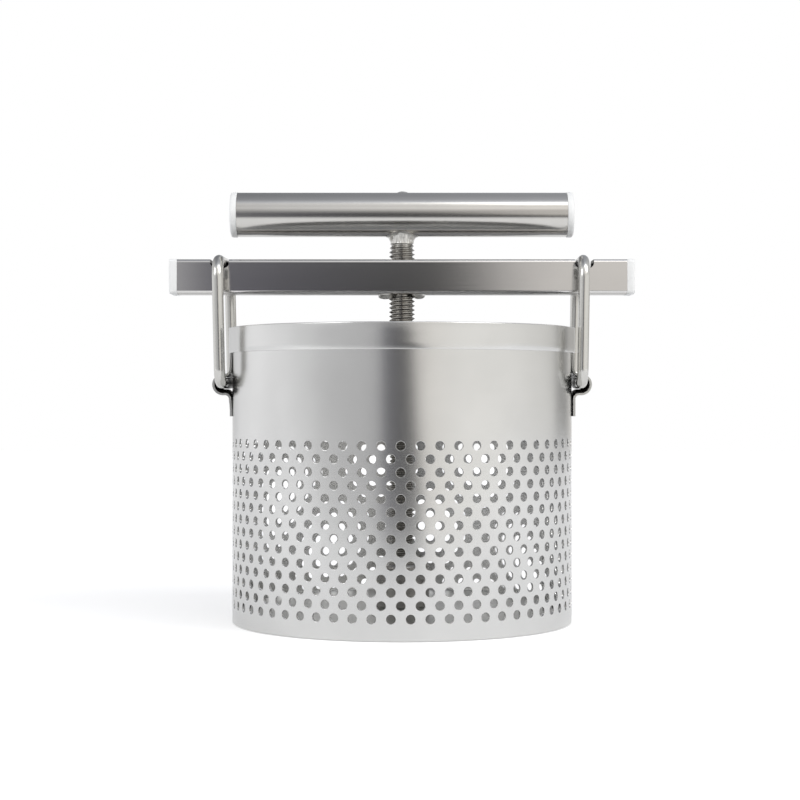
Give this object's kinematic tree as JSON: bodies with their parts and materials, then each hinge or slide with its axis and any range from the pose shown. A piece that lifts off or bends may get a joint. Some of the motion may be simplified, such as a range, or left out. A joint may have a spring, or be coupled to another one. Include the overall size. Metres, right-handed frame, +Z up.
{
  "type": "screw vegetable press",
  "caption": "Perforated steel basket with wire links that hook over a crossbar; a T-handled screw through the bar drives a round plate down to squeeze vegetables.",
  "frame": {"origin": "centre of the basket's flat underside, on the screw's axis", "axes": "+Z up along the screw, X along the crossbar, Y through the front and back of the basket"},
  "size_m": [0.23, 0.1692, 0.2131],
  "materials": {
    "satin_sheet": "satin stainless sheet, fine grain",
    "bright_steel": "smooth polished stainless",
    "bar_tube": "drawn square tube, satin",
    "handle_tube": "polished tube with fine lengthwise lines",
    "thread_steel": "rolled thread, slightly rough",
    "weld_metal": "cleaned weld, rough",
    "cap_plastic": "white moulded plastic",
    "plate_sheet": "satin stainless sheet"
  },
  "bodies": {
    "basket": {"basket_wall": "satin_sheet", "basket_floor": "satin_sheet", "rim_band": "satin_sheet", "left_bracket": "bright_steel", "right_bracket": "bright_steel"},
    "left_link": {"left_link": "bright_steel"},
    "right_link": {"right_link": "bright_steel"},
    "crossbar": {"crossbar": "bar_tube", "crossbar_left_cap": "cap_plastic", "crossbar_right_cap": "cap_plastic", "nut_block": "thread_steel", "nut_welds": "weld_metal"},
    "plate": {"press_plate": "plate_sheet", "press_hub": "plate_sheet", "thrust_washer": "bright_steel", "retaining_washer": "bright_steel"},
    "screw": {"screw": "thread_steel", "handle_tube": "handle_tube", "handle_left_cap": "cap_plastic", "handle_right_cap": "cap_plastic", "handle_weld": "weld_metal", "handle_plug_weld": "weld_metal", "snap_ring": "thread_steel"}
  },
  "joints": [
    {"name": "left_link_swing", "type": "hinge", "parent": "basket", "child": "left_link", "pos_m": [-0.0877, 0, 0.1178], "axis": [0, -1, 0], "range_deg": [-0.3, 2.7]},
    {"name": "right_link_swing", "type": "hinge", "parent": "basket", "child": "right_link", "pos_m": [0.0877, 0, 0.1178], "axis": [0, 1, 0], "range_deg": [-0.3, 2.7]},
    {"name": "bar_drop", "type": "slide", "parent": "basket", "child": "crossbar", "axis": [0, 0, 1], "range_m": [-0.0164, 0]},
    {"name": "press_travel", "type": "slide", "parent": "basket", "child": "plate", "axis": [0, 0, 1], "range_m": [0, 0.1138]},
    {"name": "handle_turn", "type": "hinge", "parent": "plate", "child": "screw", "pos_m": [0, 0, 0.1], "axis": [0, 0, 1], "range_deg": [0, 19350]}
  ],
  "couplings": [
    {"joint": "press_travel", "follows": "handle_turn", "m_per_rad": 0.00033693}
  ]
}
